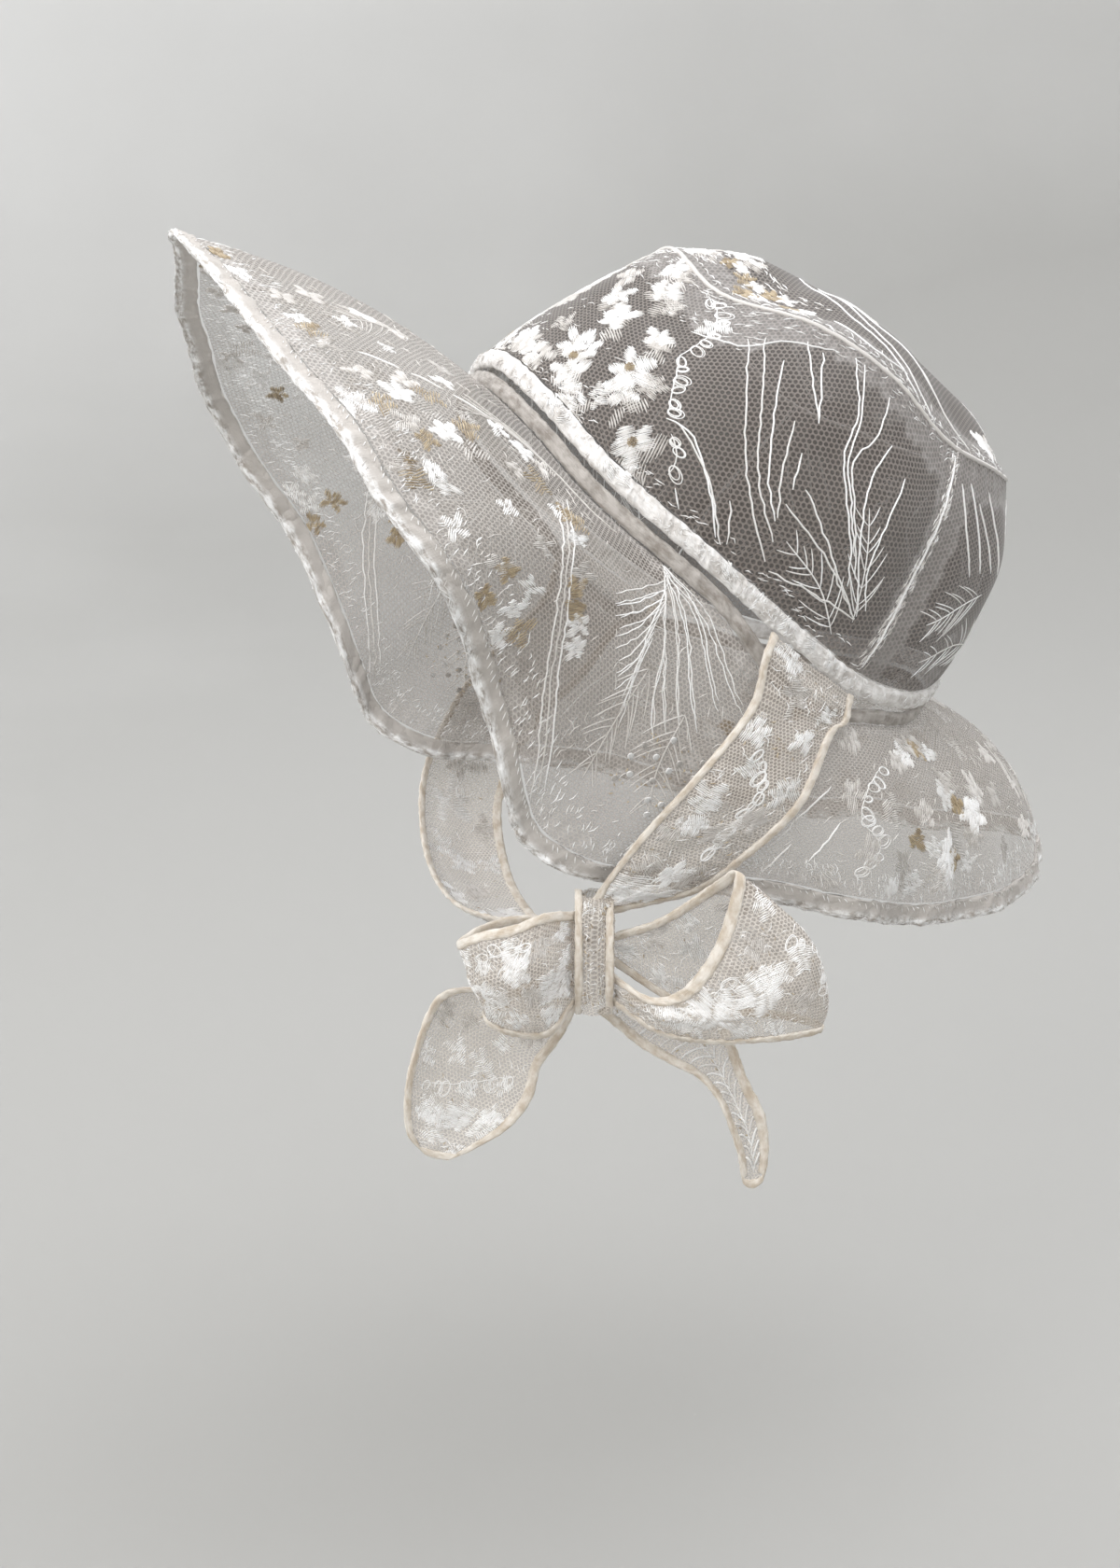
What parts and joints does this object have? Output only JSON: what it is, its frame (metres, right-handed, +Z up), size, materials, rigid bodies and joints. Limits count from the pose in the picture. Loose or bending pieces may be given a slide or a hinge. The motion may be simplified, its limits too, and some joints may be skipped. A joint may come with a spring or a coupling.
{
  "type": "lace veil hat",
  "caption": "Sheer embroidered lace hat with a crown, a wide draped brim and a chin ribbon tied in a bow at the left jaw.",
  "frame": {"origin": "centre of the head opening, where the crown is sewn to the brim", "axes": "-Y to the front of the hat, +X to the wearer's left, where the bow is, +Z up"},
  "size_m": [0.2253, 0.3232, 0.3062],
  "materials": {
    "crown_lace": "sheer, satin stitches",
    "brim_lace": "sheer, satin stitches",
    "white_tape": "matt",
    "ribbon_lace": "sheer, satin stitches",
    "ribbon_tape": "matt"
  },
  "bodies": {
    "root": {"bow_knot": "ribbon_lace", "bow_loop_back": "ribbon_lace", "bow_loop_back_lower_binding": "ribbon_tape", "bow_loop_back_upper_binding": "ribbon_tape", "bow_loop_front": "ribbon_lace", "bow_loop_front_lower_binding": "ribbon_tape", "bow_loop_front_upper_binding": "ribbon_tape", "bow_tail_back": "ribbon_lace", "bow_tail_back_binding": "ribbon_tape", "bow_tail_front": "ribbon_lace", "bow_tail_front_binding": "ribbon_tape", "brim": "brim_lace", "brim_edge_binding": "white_tape", "brim_head_binding": "white_tape", "chin_strap": "ribbon_lace", "chin_strap_back_binding": "ribbon_tape", "chin_strap_front_binding": "ribbon_tape", "crown_back": "crown_lace", "crown_binding": "white_tape", "crown_side": "crown_lace", "crown_tip": "crown_lace", "near_strap": "ribbon_lace", "near_strap_back_binding": "ribbon_tape", "near_strap_front_binding": "ribbon_tape"}
  },
  "joints": []
}
